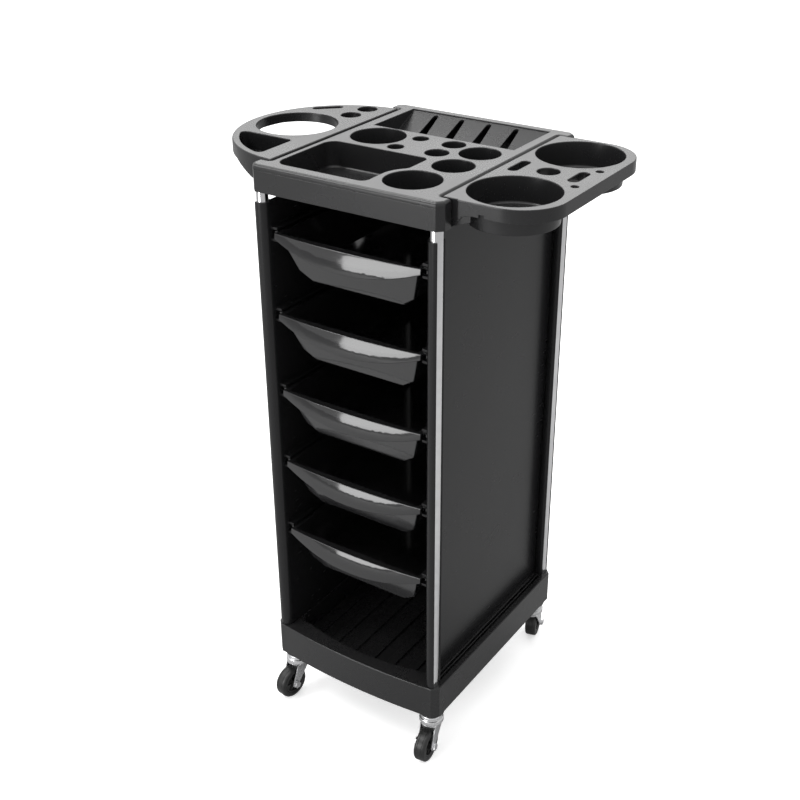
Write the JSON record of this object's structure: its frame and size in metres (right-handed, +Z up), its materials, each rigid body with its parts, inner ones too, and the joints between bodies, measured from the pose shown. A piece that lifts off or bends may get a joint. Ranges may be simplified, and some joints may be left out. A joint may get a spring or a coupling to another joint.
{
  "type": "spa trolley cart",
  "caption": "Tall salon trolley cart: black moulded cabinet with chromed corner tubes, pull-out drawers, compartmented top tray, fold-down side wings and swivel casters.",
  "frame": {"origin": "on the floor under the middle of the cabinet, which is the middle of the whole box to within 5 mm", "axes": "+X to the right seen from the front, -Y towards the front where the drawers pull out, +Z up"},
  "size_m": [0.535, 0.3941, 0.86],
  "materials": {
    "black_abs": "moulded black plastic, satin",
    "black_panel": "moulded black plastic sheet, fine satin",
    "black_gloss": "moulded black plastic, polished",
    "chrome_tube": "chrome-plated steel tube",
    "zinc_steel": "bright zinc-plated steel",
    "wheel_hub": "black plastic",
    "tyre": "hard black rubber"
  },
  "bodies": {
    "cabinet": {"top_tray": "black_abs", "base_tray": "black_abs", "left_side_panel": "black_panel", "right_side_panel": "black_panel", "back_panel": "black_panel", "left_wing_pins": "zinc_steel", "right_wing_pins": "zinc_steel", "tube_plugs": "black_abs", "tube_screws": "zinc_steel", "tube_front_left": "chrome_tube", "tube_front_right": "chrome_tube", "tube_rear_left": "chrome_tube", "tube_rear_right": "chrome_tube", "caster_stem_front_left": "zinc_steel", "caster_stem_front_right": "zinc_steel", "caster_stem_rear_left": "zinc_steel", "caster_stem_rear_right": "zinc_steel", "caster_sleeve_front_left": "black_abs", "caster_sleeve_front_right": "black_abs", "caster_sleeve_rear_left": "black_abs", "caster_sleeve_rear_right": "black_abs"},
    "left_wing": {"left_wing": "black_abs"},
    "right_wing": {"right_wing": "black_abs"},
    "drawer_1": {"drawer_1": "black_gloss"},
    "drawer_2": {"drawer_2": "black_gloss"},
    "drawer_3": {"drawer_3": "black_gloss"},
    "drawer_4": {"drawer_4": "black_gloss"},
    "drawer_5": {"drawer_5": "black_gloss"},
    "caster_front_left": {"caster_cap_front_left": "zinc_steel", "caster_balls_front_left": "zinc_steel", "caster_fork_front_left": "zinc_steel", "caster_axle_front_left": "zinc_steel", "caster_nut_front_left": "zinc_steel"},
    "wheel_front_left": {"caster_hub_front_left": "wheel_hub", "caster_tyre_front_left": "tyre"},
    "caster_front_right": {"caster_cap_front_right": "zinc_steel", "caster_balls_front_right": "zinc_steel", "caster_fork_front_right": "zinc_steel", "caster_axle_front_right": "zinc_steel", "caster_nut_front_right": "zinc_steel"},
    "wheel_front_right": {"caster_hub_front_right": "wheel_hub", "caster_tyre_front_right": "tyre"},
    "caster_rear_left": {"caster_cap_rear_left": "zinc_steel", "caster_balls_rear_left": "zinc_steel", "caster_fork_rear_left": "zinc_steel", "caster_axle_rear_left": "zinc_steel", "caster_nut_rear_left": "zinc_steel"},
    "wheel_rear_left": {"caster_hub_rear_left": "wheel_hub", "caster_tyre_rear_left": "tyre"},
    "caster_rear_right": {"caster_cap_rear_right": "zinc_steel", "caster_balls_rear_right": "zinc_steel", "caster_fork_rear_right": "zinc_steel", "caster_axle_rear_right": "zinc_steel", "caster_nut_rear_right": "zinc_steel"},
    "wheel_rear_right": {"caster_hub_rear_right": "wheel_hub", "caster_tyre_rear_right": "tyre"}
  },
  "joints": [
    {"name": "drawer_1_slide", "type": "slide", "parent": "cabinet", "child": "drawer_1", "axis": [0, -1, 0], "range_m": [0, 0.26]},
    {"name": "drawer_2_slide", "type": "slide", "parent": "cabinet", "child": "drawer_2", "axis": [0, -1, 0], "range_m": [0, 0.26]},
    {"name": "drawer_3_slide", "type": "slide", "parent": "cabinet", "child": "drawer_3", "axis": [0, -1, 0], "range_m": [0, 0.26]},
    {"name": "drawer_4_slide", "type": "slide", "parent": "cabinet", "child": "drawer_4", "axis": [0, -1, 0], "range_m": [0, 0.26]},
    {"name": "drawer_5_slide", "type": "slide", "parent": "cabinet", "child": "drawer_5", "axis": [0, -1, 0], "range_m": [0, 0.26]},
    {"name": "left_wing_fold", "type": "hinge", "parent": "cabinet", "child": "left_wing", "pos_m": [-0.139, 0, 0.834], "axis": [0, -1, 0], "range_deg": [0, 90]},
    {"name": "right_wing_fold", "type": "hinge", "parent": "cabinet", "child": "right_wing", "pos_m": [0.139, 0, 0.834], "axis": [0, 1, 0], "range_deg": [0, 90]},
    {"name": "caster_front_left_swivel", "type": "hinge", "parent": "cabinet", "child": "caster_front_left", "pos_m": [-0.124, -0.154, 0.06], "axis": [0, 0, 1], "continuous": true},
    {"name": "wheel_front_left_spin", "type": "hinge", "parent": "caster_front_left", "child": "wheel_front_left", "pos_m": [-0.12651, -0.17182, 0.025], "axis": [0.9903, -0.1392, 0], "continuous": true},
    {"name": "caster_front_right_swivel", "type": "hinge", "parent": "cabinet", "child": "caster_front_right", "pos_m": [0.124, -0.154, 0.06], "axis": [0, 0, 1], "continuous": true},
    {"name": "wheel_front_right_spin", "type": "hinge", "parent": "caster_front_right", "child": "wheel_front_right", "pos_m": [0.12588, -0.1719, 0.025], "axis": [0.9945, 0.1045, 0], "continuous": true},
    {"name": "caster_rear_left_swivel", "type": "hinge", "parent": "cabinet", "child": "caster_rear_left", "pos_m": [-0.124, 0.154, 0.06], "axis": [0, 0, 1], "continuous": true},
    {"name": "wheel_rear_left_spin", "type": "hinge", "parent": "caster_rear_left", "child": "wheel_rear_left", "pos_m": [-0.115, 0.16959, 0.025], "axis": [-0.866, 0.5, 0], "continuous": true},
    {"name": "caster_rear_right_swivel", "type": "hinge", "parent": "cabinet", "child": "caster_rear_right", "pos_m": [0.124, 0.154, 0.06], "axis": [0, 0, 1], "continuous": true},
    {"name": "wheel_rear_right_spin", "type": "hinge", "parent": "caster_rear_right", "child": "wheel_rear_right", "pos_m": [0.11934, 0.17139, 0.025], "axis": [-0.9659, -0.2588, 0], "continuous": true}
  ]
}
